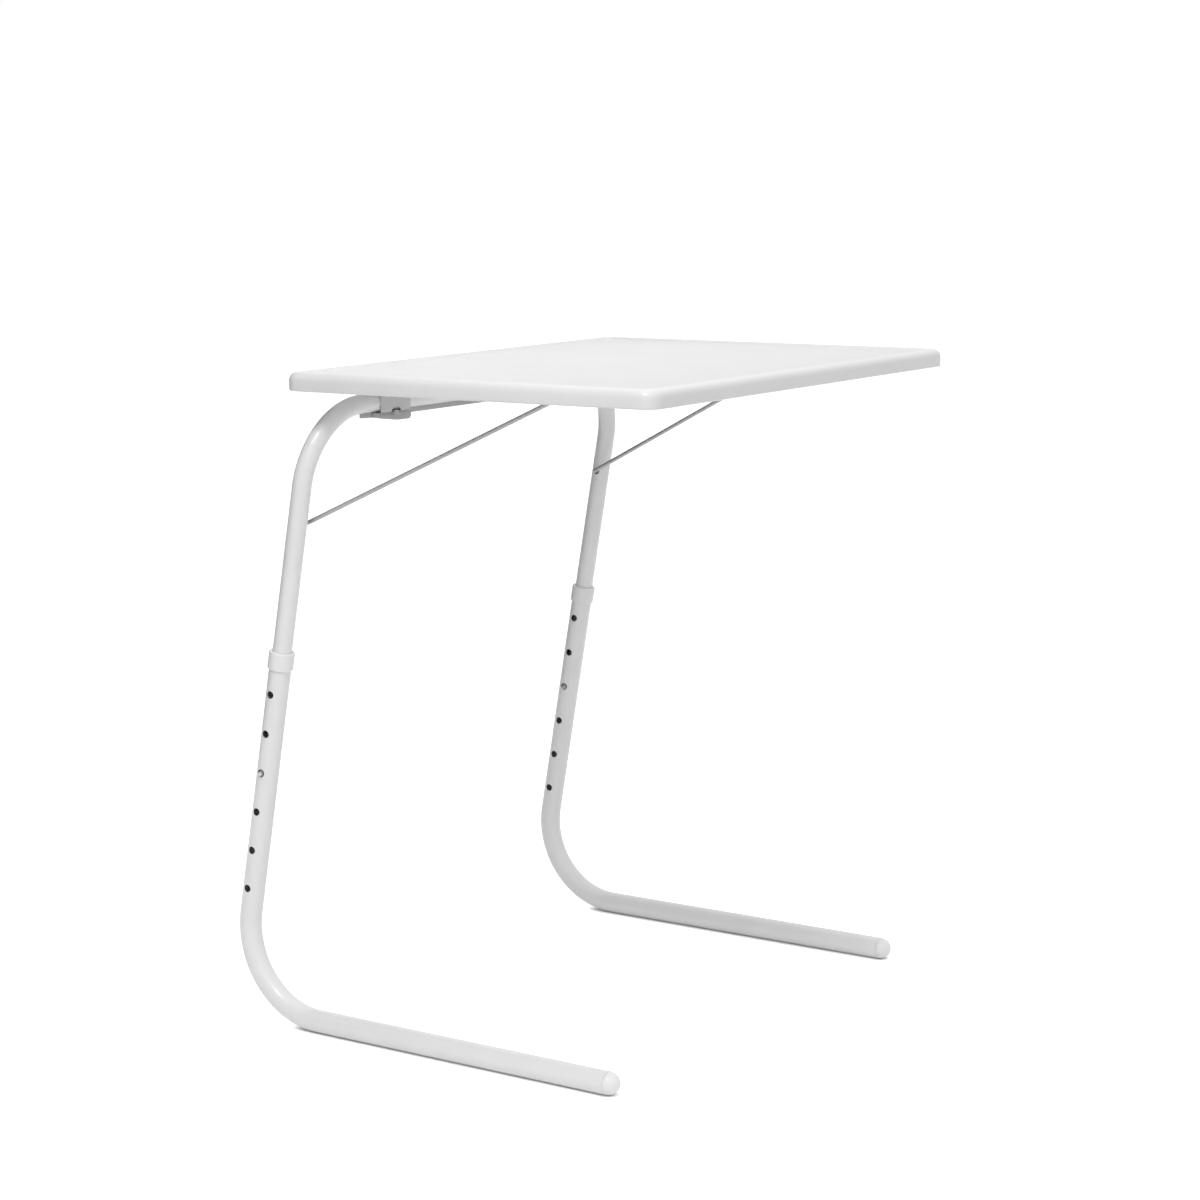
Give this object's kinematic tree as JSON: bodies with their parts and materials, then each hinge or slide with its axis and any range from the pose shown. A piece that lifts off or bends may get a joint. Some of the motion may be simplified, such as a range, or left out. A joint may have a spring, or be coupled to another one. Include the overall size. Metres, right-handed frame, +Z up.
{
  "type": "portable drawing board",
  "caption": "Folding drawing board: shallow white tray hinged on a telescopic tube stand with forward feet, push-button height holes and a wire brace that sets the tilt.",
  "frame": {"origin": "on the floor, in the middle of the overall width and depth", "axes": "+X to the right of the person who sits at the board, +Y to the rear (posts), +Z up"},
  "size_m": [0.52, 0.48, 0.619],
  "materials": {
    "tray_plastic": "satin white moulded plastic",
    "hinge_plastic": "white moulded plastic",
    "fitting_plastic": "white moulded plastic",
    "tube_enamel": "white powder coat on steel tube",
    "wire_steel": "plated steel wire",
    "button_steel": "plated steel",
    "screw_steel": "plated steel"
  },
  "bodies": {
    "frame": {"upper_frame": "tube_enamel", "left_guide_plug": "fitting_plastic", "right_guide_plug": "fitting_plastic", "left_button_spring": "screw_steel", "right_button_spring": "screw_steel"},
    "tray": {"tray_top": "tray_plastic", "left_hinge_saddle": "hinge_plastic", "right_hinge_saddle": "hinge_plastic", "hinge_strip": "hinge_plastic", "hinge_screws": "screw_steel", "left_notch_rack": "hinge_plastic", "right_notch_rack": "hinge_plastic", "rack_screws": "screw_steel"},
    "brace": {"brace_wire": "wire_steel"},
    "left_leg": {"left_lower_leg": "tube_enamel", "left_leg_collar": "fitting_plastic", "left_foot_cap": "fitting_plastic"},
    "right_leg": {"right_lower_leg": "tube_enamel", "right_leg_collar": "fitting_plastic", "right_foot_cap": "fitting_plastic"},
    "left_button": {"left_snap_button": "button_steel"},
    "right_button": {"right_snap_button": "button_steel"}
  },
  "joints": [
    {"name": "tray_fold", "type": "hinge", "parent": "frame", "child": "tray", "pos_m": [0, 0.13856, 0.58386], "axis": [1, 0, 0], "range_deg": [0, 100]},
    {"name": "brace_swing", "type": "hinge", "parent": "frame", "child": "brace", "pos_m": [0, 0.15824, 0.47869], "axis": [1, 0, 0], "range_deg": [0, 126.5]},
    {"name": "left_leg_slide", "type": "slide", "parent": "frame", "child": "left_leg", "axis": [0, -0.184, 0.9829], "range_m": [-0.077, 0.1155], "deforming": ["left_snap_button"]},
    {"name": "right_leg_slide", "type": "slide", "parent": "frame", "child": "right_leg", "axis": [0, -0.184, 0.9829], "range_m": [-0.077, 0.1155], "deforming": ["right_snap_button"]},
    {"name": "left_button_press", "type": "slide", "parent": "frame", "child": "left_button", "axis": [1, 0, 0], "range_m": [0, 0.0036], "stiffness_N_per_m": 900, "springref_m": -0.003, "deforming": ["left_button_spring"]},
    {"name": "right_button_press", "type": "slide", "parent": "frame", "child": "right_button", "axis": [1, 0, 0], "range_m": [0, 0.0036], "stiffness_N_per_m": 900, "springref_m": -0.003, "deforming": ["right_button_spring"]}
  ],
  "couplings": [
    {"joint": "brace_swing", "follows": "tray_fold", "ratio": 1.2647}
  ]
}
